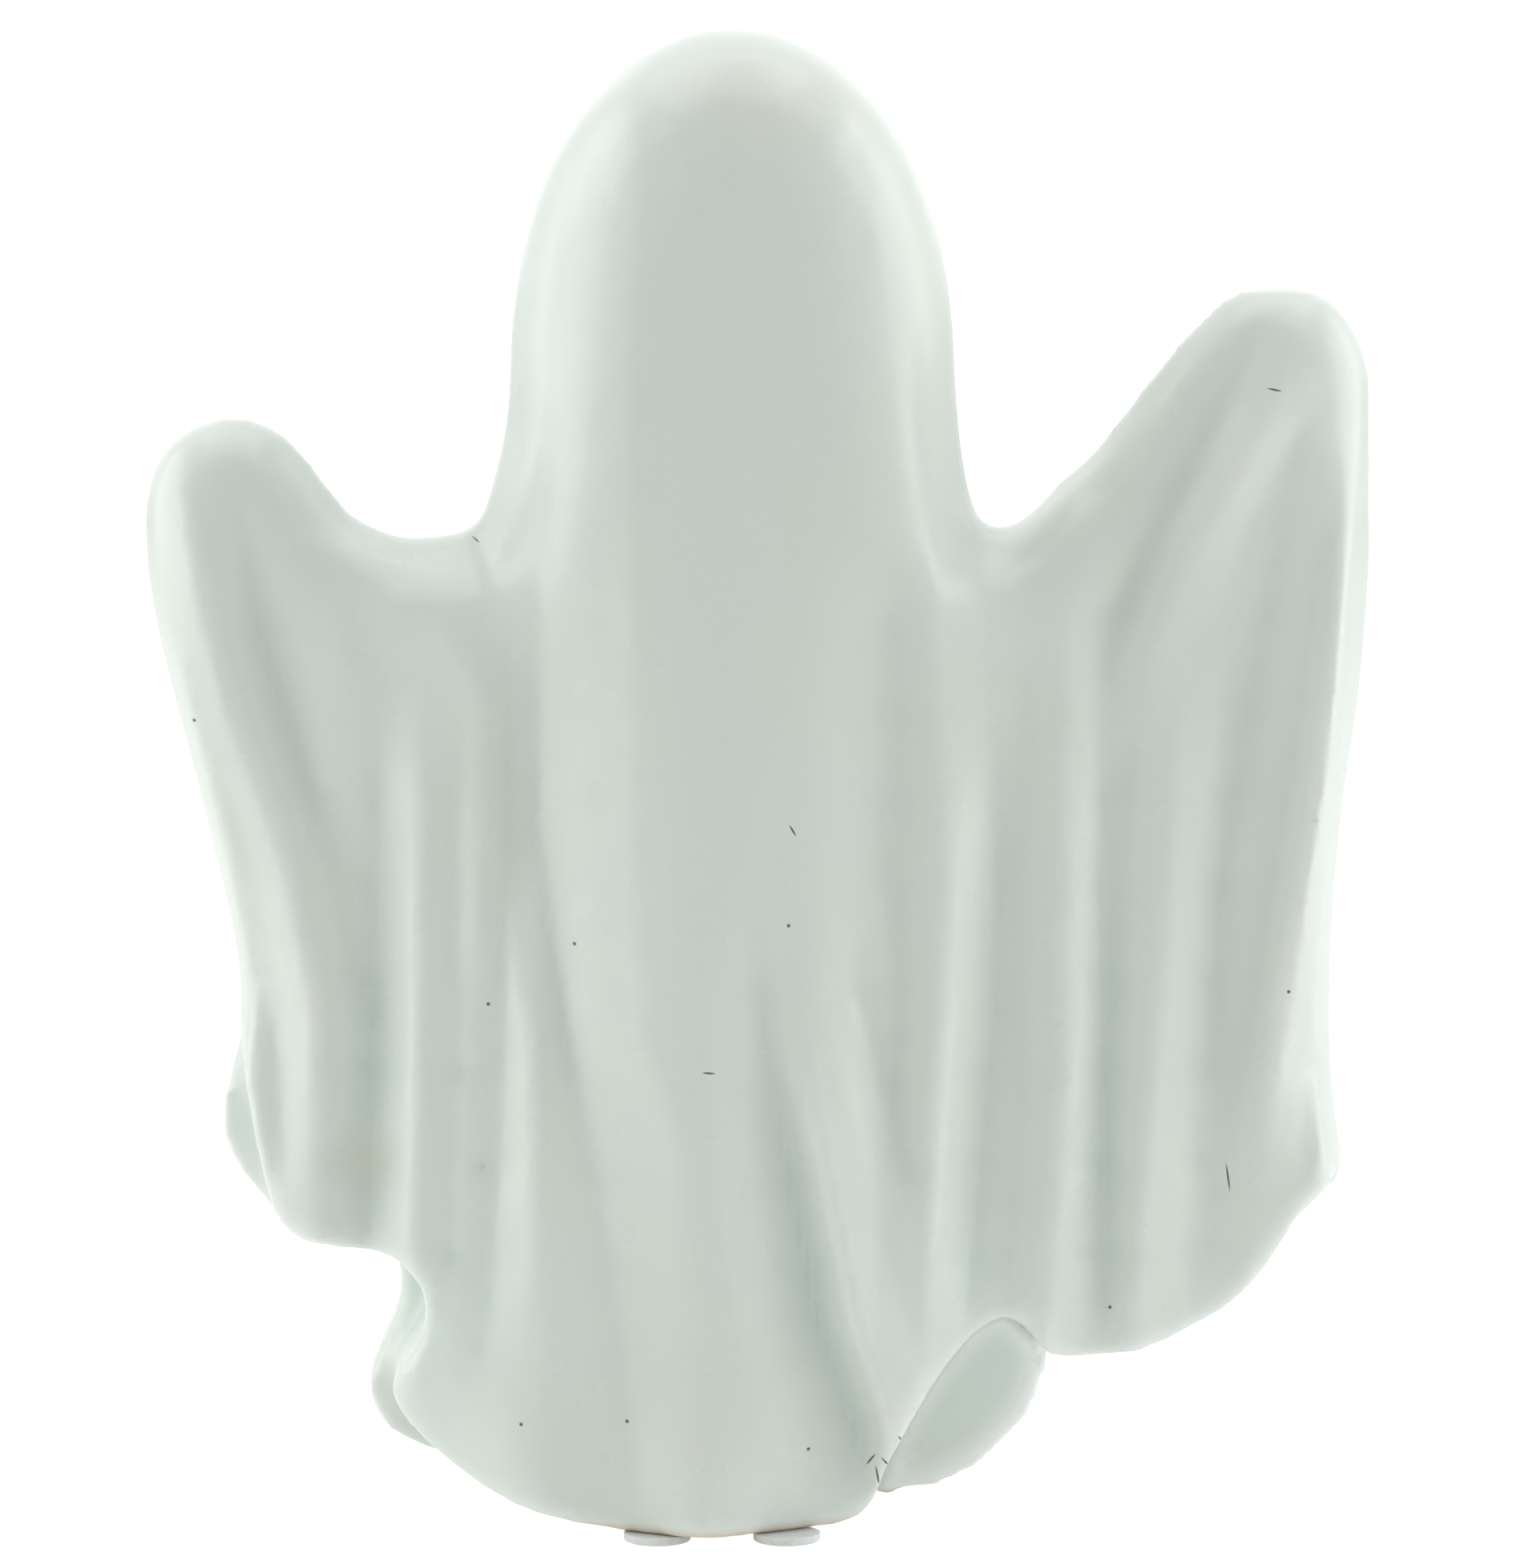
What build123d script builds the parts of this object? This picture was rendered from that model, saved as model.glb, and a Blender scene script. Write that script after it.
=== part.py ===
# A slip-cast ceramic ghost: a sheet draped over a head and two raised arms.
# Millimetres, +Z up, face towards -Y. The table is z = 0 and the ghost's own left arm is on +X.
import os
from math import sqrt
from typing import NamedTuple

from build123d import *

# Bumper dots that lift the casting off the table
DOT_HEIGHT = 1.0
DOT_DIAMETER = 8.0
DOT_EDGE = 0.3
DOT_PLACES = {
    "foot_dot_back_left": (12.0, 28.5),
    "foot_dot_back_right": (-3.5, 28.5),
    "foot_dot_front_left": (22.0, -26.0),
    "foot_dot_front_right": (-10.0, -26.0),
}

# Head and body: heights above the foot, widths and depths across the sheet
CROWN_HEIGHT = 178.0
NECK_HEIGHT = 133.0
HEAD_WIDTH = 54.4
HEAD_DEPTH = 47.0
HEAD_MIDDLE = 3.0
SKIRT_HEIGHT = 12.0
SKIRT_WIDTH = 86.0
SKIRT_DEPTH = 68.0
SKIRT_MIDDLE = 5.8
HEM_WIDTH = 82.0
HEM_DEPTH = 67.0
BODY_STEPS = 10
SKIRT_STEPS = 2

# The dome of the head closes in a small flat cap
DOME_RISES = (0.0, 0.2, 0.4, 0.58, 0.74, 0.87, 0.96, 1.0)
DOME_FULLNESS = 2.2
DOME_ROUNDNESS = 0.47
DOME_FLAT = 0.12

# Arms, each with the sheet that hangs from it; the left one is held lower
LEFT_TOP = 131.2
LEFT_REACH = 74.1
LEFT_ARM_DEPTH = 21.0
LEFT_HEM_DEPTH = 26.0
RIGHT_TOP = 147.0
RIGHT_REACH = 74.1
RIGHT_ARM_DEPTH = 22.0
RIGHT_HEM_DEPTH = 27.0
ARM_ROUND = 12.0
CREST_FLAT = 0.2
ARM_EDGE_ROUND = 13.0
SHEET_SWELL = 0.95
SWELL_DROP = 55.0

# Inside
WALL = 5.0
POUR_HOLE_WIDTH = 38.0
POUR_HOLE_DEPTH = 44.0
POUR_HOLE_MIDDLE = 8.0
HOLLOW_START = 44.0
ARM_HOLLOW_START = 70.0
ARM_HOLLOW_SHARES = (0.0, 0.4, 0.75, 1.0)

# Face: sunk ovals flooded with black glaze
EYE_WIDTH = 9.0
EYE_HEIGHT = 13.5
EYE_SPACING = 21.0
EYE_LEVEL = 146.0
MOUTH_WIDTH = 9.5
MOUTH_HEIGHT = 13.0
MOUTH_LEVEL = 122.0
GLAZE_DEPTH = 1.4
FACE_START = 90.0

# Folds grow from where they start to their full rise, and shift sideways between two heights
FOLD_GROWTH = 60.0
FOLD_HIGH = 120.0
FOLD_LOW = 15.0
EDGE_SHARE = 0.03
FOLD_INSIDE = 0.0

# The two hem cuts overlap a little at the mould seam, and reach clear of the casting
SEAM_LAP = 0.4
CLEAR = 120.0


class Fold(NamedTuple):
    """A ridge (positive rise) or valley that runs down the sheet.

    Its place is a share of the section's width, from the inner end to the outer, high up and low down."""

    high: float
    low: float
    rise: float
    start: float


class Level(NamedTuple):
    """A level section of the sheet, from the x of its inner end to the x of its outer end.

    An arm's crest gives (distance from x = 0, height) points along the top of its inner flank."""

    height: float
    inner: float
    outer: float
    half_depth: float
    edge_round: float
    swell: float = 0.0
    crest: tuple = ()


# Folds from the inner end of the section to the outer; across the body that is from right to left
BODY_BACK = (
    Fold(0.05, 0.05, -1.0, 90),
    Fold(0.125, 0.11, 1.5, 130),
    Fold(0.25, 0.16, -1.0, 100),
    Fold(0.40, 0.215, 1.4, 56),
    Fold(0.52, 0.28, -3.0, 66),
    Fold(0.71, 0.52, 0.8, 160),
    Fold(0.78, 0.65, -1.4, 150),
    Fold(0.85, 0.76, 0.9, 120),
    Fold(0.93, 0.84, -1.2, 110),
)
BODY_FRONT = (
    Fold(0.08, 0.10, 1.2, 100),
    Fold(0.19, 0.22, -1.8, 94),
    Fold(0.32, 0.35, 1.6, 84),
    Fold(0.51, 0.52, -2.2, 76),
    Fold(0.69, 0.65, 1.6, 84),
    Fold(0.81, 0.77, -1.8, 92),
    Fold(0.92, 0.90, 1.2, 100),
)
LEFT_BACK = (
    Fold(0.18, 0.18, 0.0, 90),
    Fold(0.38, 0.33, -1.6, 104),
    Fold(0.55, 0.475, 2.0, 100),
    Fold(0.72, 0.585, -2.2, 122),
    Fold(0.88, 0.75, 2.0, 122),
)
LEFT_FRONT = (
    Fold(0.20, 0.20, 0.0, 90),
    Fold(0.40, 0.34, -1.6, 100),
    Fold(0.56, 0.48, 2.0, 100),
    Fold(0.72, 0.62, -2.2, 110),
    Fold(0.88, 0.78, 1.8, 115),
)
RIGHT_BACK = (
    Fold(0.20, 0.16, -1.6, 92),
    Fold(0.34, 0.34, 2.0, 106),
    Fold(0.46, 0.455, -2.0, 140),
    Fold(0.63, 0.54, 2.2, 130),
    Fold(0.79, 0.69, -1.7, 130),
    Fold(0.92, 0.85, 1.4, 126),
)
RIGHT_FRONT = (
    Fold(0.20, 0.18, -1.4, 94),
    Fold(0.34, 0.33, 1.8, 104),
    Fold(0.47, 0.45, -2.0, 110),
    Fold(0.62, 0.56, 2.0, 118),
    Fold(0.78, 0.71, -1.8, 126),
    Fold(0.92, 0.86, 1.4, 126),
)

# Each arm as rows of (drop below its top, in from its reach, how far the inner end lies from x = 0)
LEFT_ROWS = (
    (0.2, 8.8, 61.0),
    (0.9, 6.6, 59.0),
    (2.8, 3.4, 56.2),
    (5.6, 1.4, 53.8),
    (9.0, 0.4, 51.2),
    (12.2, 0.0, 48.4),
    (14.2, 0.0, 43.6),
    (16.0, 0.1, 36.5),
    (18.6, 0.3, 29.0),
    (23.0, 0.9, 23.0),
    (30.0, 2.4, 20.5),
    (41.2, 5.3, 20.0),
    (52.6, 8.1, 20.0),
    (64.3, 10.6, 20.0),
    (73.2, 11.0, 20.0),
    (81.0, 9.4, 20.0),
    (90.0, 8.2, 20.0),
    (99.0, 8.0, 20.0),
    (108.0, 8.0, 20.0),
)
RIGHT_ROWS = (
    (0.2, 9.2, 59.8),
    (1.2, 5.4, 56.5),
    (3.7, 3.0, 53.8),
    (7.0, 1.2, 50.6),
    (11.0, 0.3, 47.3),
    (16.0, 0.2, 43.6),
    (22.0, 0.1, 39.0),
    (27.0, 0.1, 35.0),
    (30.2, 0.0, 30.4),
    (32.6, 0.0, 25.0),
    (37.0, 0.2, 20.0),
    (47.0, 0.9, 17.0),
    (59.0, 2.5, 16.0),
    (71.0, 3.8, 16.0),
    (86.0, 4.4, 16.0),
    (101.0, 3.6, 16.0),
    (110.0, 2.2, 16.0),
    (118.0, 2.0, 16.0),
    (127.0, 2.0, 16.0),
    (136.0, 2.0, 16.0),
)

# The hem as (x, height) points from the right hand round to the left hand; each run is one smooth curve
BACK_HEM = (
    ((-71.6, 38.6), (-67.0, 37.4), (-64.0, 33.2), (-59.5, 26.9), (-51.8, 21.8), (-44.0, 19.2), (-35.2, 19.3)),
    ((-35.2, 19.3), (-33.0, 22.4), (-30.2, 24.5), (-27.0, 23.4), (-22.6, 19.0), (-16.8, 10.4), (-14.4, 3.9)),
    ((-14.4, 3.9), (-12.6, 1.2), (-9.0, 0.0)),
    ((17.0, 0.0), (28.8, 2.8), (39.5, 8.6), (44.2, 15.5), (40.4, 22.0), (40.0, 26.8), (43.4, 31.0)),
    ((43.4, 31.0), (50.0, 31.9), (55.0, 32.9), (58.6, 36.0)),
    ((58.6, 36.0), (61.0, 46.0), (62.6, 57.0)),
)
FRONT_HEM = (
    ((-71.0, 38.0), (-66.0, 33.0), (-57.0, 26.0), (-47.0, 22.4), (-40.0, 23.0)),
    ((-40.0, 23.0), (-37.8, 27.0), (-36.4, 22.0), (-35.0, 14.0), (-29.4, 5.4), (-21.0, 0.8), (-16.0, 0.0)),
    ((30.0, 0.0), (39.5, 3.8), (46.6, 8.4), (47.6, 12.4), (45.0, 19.0), (43.6, 26.0), (45.0, 29.6)),
    ((45.0, 29.6), (50.0, 29.6), (56.0, 31.5), (61.7, 36.8), (65.2, 43.2), (64.6, 50.0), (62.3, 57.8)),
)


def between(value, start, end):
    """Share of the way from start to end, held between 0 and 1."""
    return min(1.0, max(0.0, (value - start) / (end - start)))


def dome(rise):
    """Width of a full, rounded top at a share of its rise."""
    return max(DOME_FLAT, (1 - rise**DOME_FULLNESS) ** DOME_ROUNDNESS)


def rounded(distance, radius):
    """Fullness of a rounded edge at a distance in from it."""
    return sqrt(1 - (1 - min(1.0, max(0.0, distance / radius))) ** 2)


def crest_height(crest, x):
    """Height of an arm's crest over a distance x out from the middle."""
    for (upper_x, upper), (lower_x, lower) in zip(crest, crest[1:]):
        if upper_x >= x >= lower_x:
            return lower + (upper - lower) * between(x, lower_x, upper_x)
    return crest[0][1] if x > crest[0][0] else crest[-1][1]


def fullness(level, share):
    """How full the section is at a share of its width: 1, or less near its ends and under a crest."""
    span = abs(level.outer - level.inner)
    ends = rounded(min(share, 1 - share) * span, min(level.edge_round, span / 2))
    if not level.crest:
        return ends
    x = abs(level.inner + (level.outer - level.inner) * share)
    under = crest_height(level.crest, x) - level.height
    return ends * max(CREST_FLAT, rounded(under, ARM_ROUND))


def sheet_points(level, folds, depth):
    """Points along one side of a section, from its inner end to its outer, folds at a share of their depth."""
    points = []
    for fold in (Fold(EDGE_SHARE, EDGE_SHARE, 0, 0), *folds, Fold(1 - EDGE_SHARE, 1 - EDGE_SHARE, 0, 0)):
        share = fold.low + (fold.high - fold.low) * between(level.height, FOLD_LOW, FOLD_HIGH)
        grown = between(fold.start - level.height, 0, FOLD_GROWTH)
        plain = level.half_depth * (1 + level.swell * (1 - share) ** 2)
        out = fullness(level, share) * (plain + depth * fold.rise * grown**2 * (3 - 2 * grown))
        points.append((level.inner + (level.outer - level.inner) * share, out))
    return points


def ring(level, back, front, depth):
    """Points round one section, anticlockwise from above."""
    near = sheet_points(level, back, depth)
    far = [(x, -y) for x, y in sheet_points(level, front, depth)]
    points = [(level.inner, 0), *far, (level.outer, 0), *reversed(near)]
    return points if level.outer > level.inner else points[::-1]


def draped_form(levels, back, front, depth=1.0):
    """A loft through level sections of the sheet, from the lowest up."""
    with BuildPart() as form:
        sections = []
        for level in levels:
            with BuildSketch(Plane.XY.offset(DOT_HEIGHT + level.height)) as section:
                with BuildLine():
                    Spline(*ring(level, back, front, depth), periodic=True)
                make_face()
            sections.append(section.sketch.face())
        loft(sections=sections)
    return form.part


def drawn_in(levels, wall):
    """The same sections moved in by the wall."""
    inside = []
    for level in levels:
        if level.half_depth >= 2 * wall:
            inside.append(
                level._replace(
                    inner=level.inner + wall, outer=level.outer - wall, half_depth=level.half_depth - wall
                )
            )
    return inside


def arm_hollow(side, rows, top, reach, arm_depth):
    """The hollow of one arm: a loft of plain ellipses from low in the sheet up into the arm."""
    with BuildPart() as form:
        sections = []
        for share in ARM_HOLLOW_SHARES:
            height = ARM_HOLLOW_START + (top - ARM_ROUND - ARM_HOLLOW_START) * share
            recess, inner = row_at(rows, top - height)
            low = inner + WALL * (1 + share)
            high = reach - recess - WALL
            with BuildSketch(Plane.XY.offset(DOT_HEIGHT + height)) as section:
                with Locations((side * (low + high) / 2, 0)):
                    Ellipse((high - low) / 2, arm_depth / 2 - WALL)
            sections.append(section.sketch.face())
        loft(sections=sections)
    return form.part


def row_at(rows, drop):
    """The recess and the inner end of an arm at a drop below its top, between the rows of its table."""
    for (upper, upper_recess, upper_inner), (lower, lower_recess, lower_inner) in zip(rows, rows[1:]):
        if upper <= drop <= lower:
            share = between(drop, upper, lower)
            recess = upper_recess + (lower_recess - upper_recess) * share
            return recess, upper_inner + (lower_inner - upper_inner) * share
    return rows[-1][1:]


def body_level(height):
    """Section of head and body at a height above the foot."""
    full = dome(between(height, NECK_HEIGHT, CROWN_HEIGHT))
    spread = between(-height, -NECK_HEIGHT, -SKIRT_HEIGHT)
    tuck = between(-height, -SKIRT_HEIGHT, 0)
    width = full * (HEAD_WIDTH + (SKIRT_WIDTH - HEAD_WIDTH) * spread) + (HEM_WIDTH - SKIRT_WIDTH) * tuck
    depth = full * (HEAD_DEPTH + (SKIRT_DEPTH - HEAD_DEPTH) * spread) + (HEM_DEPTH - SKIRT_DEPTH) * tuck
    middle = HEAD_MIDDLE + (SKIRT_MIDDLE - HEAD_MIDDLE) * spread
    return Level(height, middle - width / 2, middle + width / 2, depth / 2, width / 2)


def body_levels(lowest):
    """Sections of head and body from a height up, evenly spaced."""
    steps = [lowest + (NECK_HEIGHT - lowest) * step / BODY_STEPS for step in range(BODY_STEPS)]
    dome_steps = [NECK_HEIGHT + (CROWN_HEIGHT - NECK_HEIGHT) * rise for rise in DOME_RISES]
    return [body_level(height) for height in (*steps, *dome_steps)]


def arm_levels(side, rows, top, reach, arm_depth, hem_depth):
    """Sections of one arm and the sheet that hangs from it, from the hem up."""
    crest = tuple((inner, top - drop) for drop, recess, inner in rows)
    lowest = rows[-1][0]
    levels = []
    for drop, recess, inner in reversed(rows):
        depth = arm_depth + (hem_depth - arm_depth) * between(drop, ARM_ROUND, lowest)
        swell = SHEET_SWELL * between(drop, ARM_ROUND, SWELL_DROP)
        outer = reach - recess
        levels.append(Level(top - drop, side * inner, side * outer, depth / 2, ARM_EDGE_ROUND, swell, crest))
    return levels


def hem_cut(runs, start, depth):
    """Everything under the hem line, from a plane near the mould seam out to the given depth."""
    lifted = [[(x, DOT_HEIGHT + height) for x, height in run] for run in runs]
    first = lifted[0][0]
    last = lifted[-1][-1]
    with BuildPart() as waste:
        with BuildSketch(Plane.XZ.offset(start)):
            with BuildLine():
                for run in lifted:
                    Spline(*run)
                for run, following in zip(lifted, lifted[1:]):
                    if run[-1] != following[0]:
                        Line(run[-1], following[0])
                Polyline(last, (CLEAR, last[1]), (CLEAR, -CLEAR), (-CLEAR, -CLEAR), (-CLEAR, first[1]), first)
            make_face()
        extrude(amount=depth)
    return waste.part


skirt = [body_level(SKIRT_HEIGHT * step / SKIRT_STEPS) for step in range(SKIRT_STEPS)]
body = skirt + body_levels(SKIRT_HEIGHT)
left_arm = arm_levels(1, LEFT_ROWS, LEFT_TOP, LEFT_REACH, LEFT_ARM_DEPTH, LEFT_HEM_DEPTH)
right_arm = arm_levels(-1, RIGHT_ROWS, RIGHT_TOP, RIGHT_REACH, RIGHT_ARM_DEPTH, RIGHT_HEM_DEPTH)
head = draped_form(body, BODY_BACK, BODY_FRONT)

# The hollow of head, body and arms opens through the foot, where the slip was poured out
with BuildPart() as hollow:
    with BuildSketch():
        with Locations((POUR_HOLE_MIDDLE, 0)):
            Ellipse(POUR_HOLE_WIDTH / 2, POUR_HOLE_DEPTH / 2)
    extrude(amount=DOT_HEIGHT + HOLLOW_START + WALL)
    add(draped_form(drawn_in(body_levels(HOLLOW_START), WALL), BODY_BACK, BODY_FRONT, FOLD_INSIDE))
    add(arm_hollow(1, LEFT_ROWS, LEFT_TOP, LEFT_REACH, LEFT_ARM_DEPTH))
    add(arm_hollow(-1, RIGHT_ROWS, RIGHT_TOP, RIGHT_REACH, RIGHT_ARM_DEPTH))

# Each sunk oval of the face starts in front of the head and ends at an even depth under its surface
head_core = draped_form(drawn_in(body_levels(FACE_START), GLAZE_DEPTH), BODY_BACK, BODY_FRONT)
OVALS = {
    "left_eye_glaze": (HEAD_MIDDLE + EYE_SPACING / 2, EYE_LEVEL, EYE_WIDTH, EYE_HEIGHT),
    "right_eye_glaze": (HEAD_MIDDLE - EYE_SPACING / 2, EYE_LEVEL, EYE_WIDTH, EYE_HEIGHT),
    "mouth_glaze": (HEAD_MIDDLE, MOUTH_LEVEL, MOUTH_WIDTH, MOUTH_HEIGHT),
}
sunk_ovals = {}
for name, (x, level, width, height) in OVALS.items():
    with BuildPart() as sunk_oval:
        with BuildSketch(Plane.XZ):
            with Locations((x, DOT_HEIGHT + level)):
                Ellipse(width / 2, height / 2)
        extrude(amount=HEAD_DEPTH)
        add(head_core, mode=Mode.SUBTRACT)
    sunk_ovals[name] = sunk_oval.part

os.makedirs("parts", exist_ok=True)

# The casting: the back and the front half of the sheet are trimmed each to its own hem
with BuildPart() as ghost_shell:
    add(head)
    add(draped_form(left_arm, LEFT_BACK, LEFT_FRONT))
    add(draped_form(right_arm, RIGHT_BACK, RIGHT_FRONT))
    add(hem_cut(BACK_HEM, 0, -CLEAR), mode=Mode.SUBTRACT)
    add(hem_cut(FRONT_HEM, -SEAM_LAP, CLEAR), mode=Mode.SUBTRACT)
    add(hollow.part, mode=Mode.SUBTRACT)
    for sunk_oval in sunk_ovals.values():
        add(sunk_oval, mode=Mode.SUBTRACT)
ghost_shell.part.label = "ghost_shell"
export_step(ghost_shell.part, "parts/ghost_shell.step")

# Black glaze fills each sunk oval flush with the head
for name, sunk_oval in sunk_ovals.items():
    with BuildPart() as glaze:
        add(sunk_oval)
        add(head, mode=Mode.INTERSECT)
    glaze.part.label = name
    export_step(glaze.part, f"parts/{name}.step")

# Clear bumper dots under the foot
for name, (x, y) in DOT_PLACES.items():
    with BuildPart() as foot_dot:
        with BuildSketch():
            with Locations((x, y)):
                Circle(DOT_DIAMETER / 2)
        extrude(amount=DOT_HEIGHT)
        fillet(foot_dot.faces().sort_by(Axis.Z)[0].edges(), DOT_EDGE)
    foot_dot.part.label = name
    export_step(foot_dot.part, f"parts/{name}.step")
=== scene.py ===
# %% [markdown]
# # A ceramic ghost in a draped sheet
#
# The real figure is slip-cast: liquid clay is poured into a plaster mould, drained out again,
# fired and dipped in a white glaze. So it is one hollow shell whose folds are soft everywhere,
# because the glaze rounds every edge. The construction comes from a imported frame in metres, and
# this lesson adds what the eye sees: softened clay, hand-pressed folds, glaze, floor and light.

# %% Load the frame and keep its box
import math

import bpy
import numpy as np
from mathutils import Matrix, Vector


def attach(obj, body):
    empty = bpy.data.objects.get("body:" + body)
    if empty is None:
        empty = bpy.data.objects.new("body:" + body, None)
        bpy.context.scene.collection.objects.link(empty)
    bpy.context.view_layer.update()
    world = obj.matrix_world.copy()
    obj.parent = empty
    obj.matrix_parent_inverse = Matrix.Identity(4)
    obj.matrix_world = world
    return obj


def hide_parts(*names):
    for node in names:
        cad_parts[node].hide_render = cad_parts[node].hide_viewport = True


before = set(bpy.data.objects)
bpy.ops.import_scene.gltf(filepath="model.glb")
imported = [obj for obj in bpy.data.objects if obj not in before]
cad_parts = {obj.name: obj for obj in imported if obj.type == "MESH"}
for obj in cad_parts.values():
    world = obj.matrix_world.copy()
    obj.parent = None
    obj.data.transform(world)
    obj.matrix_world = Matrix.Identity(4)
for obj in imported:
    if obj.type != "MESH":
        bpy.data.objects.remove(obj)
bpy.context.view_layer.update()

MM = 0.001
print("frame nodes:", sorted(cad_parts))

# %% [markdown]
# ## Helpers for working as by hand
#
# An operator acts on all that is selected, and the frame's nodes come in selected. So one helper
# selects a single object, one adds a modifier and applies it, and one copies a frame node into a
# piece of its own. The node's triangles are loose, so the copy is merged before anything else, and
# its sharp marks and stored normals are cleared, or they would show as beads along the joins.

# %% Select, modify and copy
MERGE_DISTANCE = 0.002 * MM


def select_only(piece):
    bpy.ops.object.select_all(action="DESELECT")
    piece.select_set(True)
    bpy.context.view_layer.objects.active = piece


def apply_modifier(piece, kind, **settings):
    select_only(piece)
    modifier = piece.modifiers.new(kind.lower(), kind)
    for name, value in settings.items():
        setattr(modifier, name, value)
    bpy.ops.object.modifier_apply(modifier=modifier.name)


def copy_of_node(node, name):
    select_only(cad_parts[node])
    bpy.ops.object.duplicate()
    piece = bpy.context.active_object
    piece.name = name
    piece.parent = None
    for key in list(piece.keys()):
        del piece[key]
    bpy.ops.object.mode_set(mode="EDIT")
    bpy.ops.mesh.select_all(action="SELECT")
    bpy.ops.mesh.remove_doubles(threshold=MERGE_DISTANCE)
    bpy.ops.mesh.mark_sharp(clear=True)
    bpy.ops.object.mode_set(mode="OBJECT")
    bpy.ops.mesh.customdata_custom_splitnormals_clear()
    return piece


print("hand tools ready; doubles merge within", MERGE_DISTANCE / MM, "mm")


# %% Read and move the points of a piece
def points_of(piece):
    points = np.empty(3 * len(piece.data.vertices))
    piece.data.vertices.foreach_get("co", points)
    return points.reshape(-1, 3)


def normals_of(piece):
    normals = np.empty(3 * len(piece.data.vertices))
    piece.data.vertices.foreach_get("normal", normals)
    return normals.reshape(-1, 3)


def move_points(piece, points):
    piece.data.vertices.foreach_set("co", points.ravel())
    piece.data.update()


def soft_step(value, start, end):
    share = np.clip((value - start) / (end - start), 0.0, 1.0)
    return share * share * (3 - 2 * share)


print("soft step halfway:", soft_step(0.5, 0.0, 1.0))

# %% [markdown]
# ## The clay: one even skin over the casting
#
# The casting's construction is made of separate forms that meet in sharp lines. Clay and glaze
# have no such lines. A voxel remesh gives the whole shell one even skin of small squares. The
# wall is little thicker than a voxel at the left saddle, where the remesh would leave a hole, so
# a ball of clay backs it from inside first.

# %% Copy the casting and back its thin wall
BALL_PLACE = (45.5 * MM, 0.0, 113.2 * MM)
BALL_RADIUS = 4.2 * MM

ghost = copy_of_node("ghost_shell", "glazed_casting")
bpy.ops.mesh.primitive_uv_sphere_add(radius=BALL_RADIUS, location=BALL_PLACE)
ball = bpy.context.active_object
select_only(ghost)
ball.select_set(True)
bpy.ops.object.join()
print("casting with its ball of clay:", len(ghost.data.vertices), "points")

# %% Remesh and keep the largest piece
# A crease can leave closed bubbles inside the clay, so only the largest connected piece is kept.
VOXEL = 1.1 * MM

ghost.data.remesh_voxel_size = VOXEL
ghost.data.use_remesh_preserve_volume = False
ghost.data.use_remesh_fix_poles = False
ghost.data.use_remesh_preserve_attributes = False
select_only(ghost)
bpy.ops.object.voxel_remesh()
bpy.ops.object.mode_set(mode="EDIT")
bpy.ops.mesh.select_all(action="SELECT")
bpy.ops.mesh.separate(type="LOOSE")
bpy.ops.object.mode_set(mode="OBJECT")
islands = sorted(bpy.context.selected_objects, key=lambda piece: len(piece.data.vertices))
ghost = islands.pop()
for bubble in islands:
    bpy.data.objects.remove(bubble)
print("clay skin:", len(ghost.data.vertices), "points; bubbles removed:", len(islands))

# %% [markdown]
# ## Smoothing the back
#
# The sheet is one cloth over head and arms, so its back runs on from the body into the arms with
# no groove between them. Seen along Y the back is a height field: one y for each x and z. It is
# read into a grid of 1 mm cells and blurred. Then the back half of the figure is stretched along Y
# by the ratio of the new height to the old one, which moves the inside of the wall along with the
# outside. Near the outline the ratio runs out to one, so the outline keeps its shape.

# %% Blur and sample a grid
CELL = 1.0
GRID_LOW = np.array((-80.0, 0.0))
GRID_SHAPE = (161, 181)


def blur(grid, reach):
    steps = np.arange(-3 * int(reach), 3 * int(reach) + 1)
    kernel = np.exp(-0.5 * (steps / reach) ** 2)
    kernel /= kernel.sum()
    for axis in (0, 1):
        grid = np.apply_along_axis(np.convolve, axis, grid, kernel, mode="same")
    return grid


def sample(grid, places):
    at = (places - GRID_LOW) / CELL
    corner = np.clip(np.floor(at).astype(int), 0, np.array(GRID_SHAPE) - 2)
    part = np.clip(at - corner, 0, 1)
    i, j = corner.T
    a, b = part.T
    lower = grid[i, j] * (1 - a) + grid[i + 1, j] * a
    upper = grid[i, j + 1] * (1 - a) + grid[i + 1, j + 1] * a
    return lower * (1 - b) + upper * b


print("grid of", GRID_SHAPE, "cells of", CELL, "mm")

# %% Read the heights of the back
# Only points past this y, with normals that lean this much to the back, belong to the outside.
OUTSIDE_Y = 2.0
OUTSIDE_NORMAL = 0.1


def around(grid):
    for axis in (0, 1):
        grid = np.max([np.roll(grid, shift, axis) for shift in (-1, 0, 1)], axis=0)
    return grid


def heights(clay, normals):
    shown = (clay[:, 1] > OUTSIDE_Y) & (normals[:, 1] > OUTSIDE_NORMAL)
    cells = np.round((clay[shown][:, (0, 2)] - GRID_LOW) / CELL).astype(int)
    height = np.zeros(GRID_SHAPE)
    np.maximum.at(height, tuple(cells.T), clay[shown, 1])
    return np.where(height > 0, height, around(height))


clay = points_of(ghost) / MM
height = heights(clay, normals_of(ghost))
filled = (height > 0).astype(float)
print("the back fills", int(filled.sum()), "cells and rises to", round(height.max(), 1), "mm")

# %% Measure how far each cell lies inside the outline
INSET_MOST = 16
OUTLINE_SOFT = 1.0
INSET_SOFT = 2.5


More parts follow.
